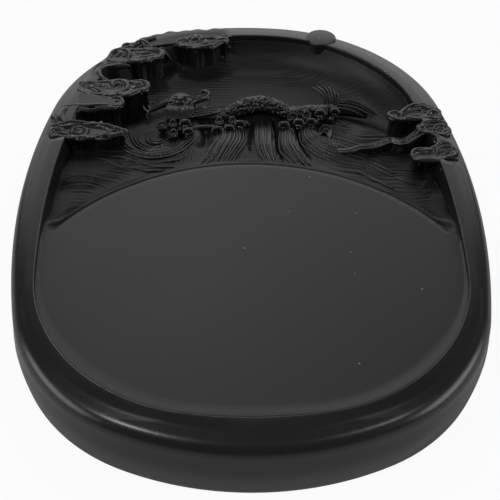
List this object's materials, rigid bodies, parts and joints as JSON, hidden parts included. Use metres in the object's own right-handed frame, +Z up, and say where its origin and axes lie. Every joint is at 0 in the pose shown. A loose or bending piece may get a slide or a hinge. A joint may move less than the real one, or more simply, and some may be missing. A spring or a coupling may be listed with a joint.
{
  "type": "ink stone",
  "caption": "Oval ink stone with a flat grinding surface and a sunk ink pool, its back carved in relief with clouds, waves and a dragon.",
  "frame": {"origin": "centre of the bounding box's bottom face, on the surface the stone rests on", "axes": "+Z up, +Y from the grinding surface towards the ink pool at the back, +X to the right as seen from the front"},
  "size_m": [0.15, 0.2, 0.021],
  "materials": {
    "polished_stone": "near-black stone, satin polish",
    "honed_stone": "near-black stone, honed matt for grinding ink",
    "carved_stone": "near-black stone, hand-carved and waxed"
  },
  "bodies": {
    "root": {"stone_body": "polished_stone", "grinding_platform": "honed_stone", "pool_floor": "carved_stone", "wave_bank": "carved_stone", "wave_swirl": "carved_stone", "pearl_disc": "carved_stone", "cloud_left_low": "carved_stone", "cloud_left_middle": "carved_stone", "cloud_left_high": "carved_stone", "cloud_left_upper": "carved_stone", "cloud_left_back": "carved_stone", "cloud_right_high": "carved_stone", "cloud_right_middle": "carved_stone", "cloud_right_low": "carved_stone", "cloud_ribbon": "carved_stone", "dragon_head": "carved_stone", "dragon_jaw": "carved_stone", "dragon_horn": "carved_stone", "dragon_beard": "carved_stone", "dragon_neck": "carved_stone", "dragon_foreleg": "carved_stone", "dragon_arch_front": "carved_stone", "dragon_arch_back": "carved_stone", "tail_plume_back": "carved_stone", "tail_plume_side": "carved_stone", "foam_left": "carved_stone", "foam_middle": "carved_stone", "foam_right": "carved_stone"}
  },
  "joints": []
}
